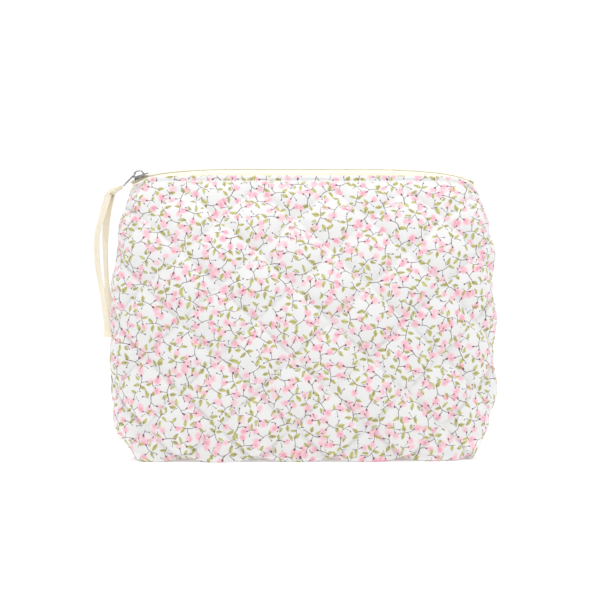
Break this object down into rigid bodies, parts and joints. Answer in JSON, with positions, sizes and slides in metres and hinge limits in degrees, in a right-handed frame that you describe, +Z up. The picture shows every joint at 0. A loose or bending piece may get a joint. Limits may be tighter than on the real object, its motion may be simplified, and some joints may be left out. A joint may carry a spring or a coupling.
{
  "type": "quilted makeup bag",
  "caption": "Quilted cotton zip pouch with a boxed base, a small floral print, a coil zip along the top and a ribbon tied to a wire ring pull.",
  "frame": {"origin": "centre of the flat base, at the surface the bag stands on", "axes": "+Z up, -Y is the front face, +X runs along the zip to the right, from the end where the slider rests when the bag is closed"},
  "size_m": [0.2506, 0.082, 0.181],
  "materials": {
    "printed_cotton": "matte plain-weave cotton with a small print of pink buds and green leaves",
    "wadding": "soft polyester wadding",
    "lining_cotton": "matte plain cotton",
    "binding_tape": "matte bias tape",
    "zip_tape": "matte woven cream tape",
    "zip_coil": "satin nylon coil",
    "sewing_thread": "spun polyester thread",
    "zip_metal": "nickel-plated, bright satin",
    "ribbon": "matte cream twill tape"
  },
  "bodies": {
    "shell": {"front_panel": "printed_cotton", "back_panel": "printed_cotton", "front_wadding": "wadding", "back_wadding": "wadding", "front_lining": "lining_cotton", "back_lining": "lining_cotton", "left_side_binding": "binding_tape", "right_side_binding": "binding_tape", "base_binding": "binding_tape", "left_corner_binding": "binding_tape", "right_corner_binding": "binding_tape", "left_zip_end": "zip_tape", "right_zip_end": "zip_tape", "left_bar_tack": "sewing_thread", "right_bar_tack": "sewing_thread"},
    "front_lip": {"front_upper_panel": "printed_cotton", "front_upper_wadding": "wadding", "front_upper_lining": "lining_cotton", "front_zip_tape": "zip_tape", "front_zip_coil": "zip_coil", "front_topstitch": "sewing_thread"},
    "back_lip": {"back_upper_panel": "printed_cotton", "back_upper_wadding": "wadding", "back_upper_lining": "lining_cotton", "back_zip_tape": "zip_tape", "back_zip_coil": "zip_coil", "back_topstitch": "sewing_thread"},
    "slider": {"slider": "zip_metal"},
    "pull": {"pull_ring": "zip_metal"},
    "hitch": {"ribbon_knot": "ribbon"},
    "ribbon": {"pull_ribbon": "ribbon"}
  },
  "joints": [
    {"name": "slider_slide", "type": "slide", "parent": "shell", "child": "slider", "axis": [0.9995, 0, 0.0311], "range_m": [0, 0.182], "deforming": ["front_zip_tape", "back_zip_tape", "front_zip_coil", "back_zip_coil", "left_zip_end", "left_bar_tack", "right_bar_tack", "pull_ribbon", "ribbon_knot"]},
    {"name": "front_lip_open", "type": "hinge", "parent": "shell", "child": "front_lip", "pos_m": [0, -0.03589, 0.116], "axis": [1, 0, 0], "range_deg": [0, 25]},
    {"name": "back_lip_open", "type": "hinge", "parent": "shell", "child": "back_lip", "pos_m": [0, 0.03589, 0.116], "axis": [-1, 0, 0], "range_deg": [0, 25]},
    {"name": "pull_lift", "type": "hinge", "parent": "slider", "child": "pull", "pos_m": [-0.10424, 0, 0.17762], "axis": [0, 1, 0], "range_deg": [0, 90]},
    {"name": "hitch_hang", "type": "hinge", "parent": "pull", "child": "hitch", "pos_m": [-0.11153, 0, 0.17007], "axis": [0, 1, 0], "range_deg": [-90, 0]},
    {"name": "ribbon_swing", "type": "hinge", "parent": "hitch", "child": "ribbon", "pos_m": [-0.1205, 0.0006, 0.1646], "axis": [0, 1, 0], "range_deg": [0, 45]}
  ],
  "couplings": [
    {"joint": "front_lip_open", "follows": "slider_slide", "rad_per_m": 2.3974},
    {"joint": "back_lip_open", "follows": "slider_slide", "rad_per_m": 2.3974},
    {"joint": "hitch_hang", "follows": "pull_lift", "ratio": -1}
  ]
}
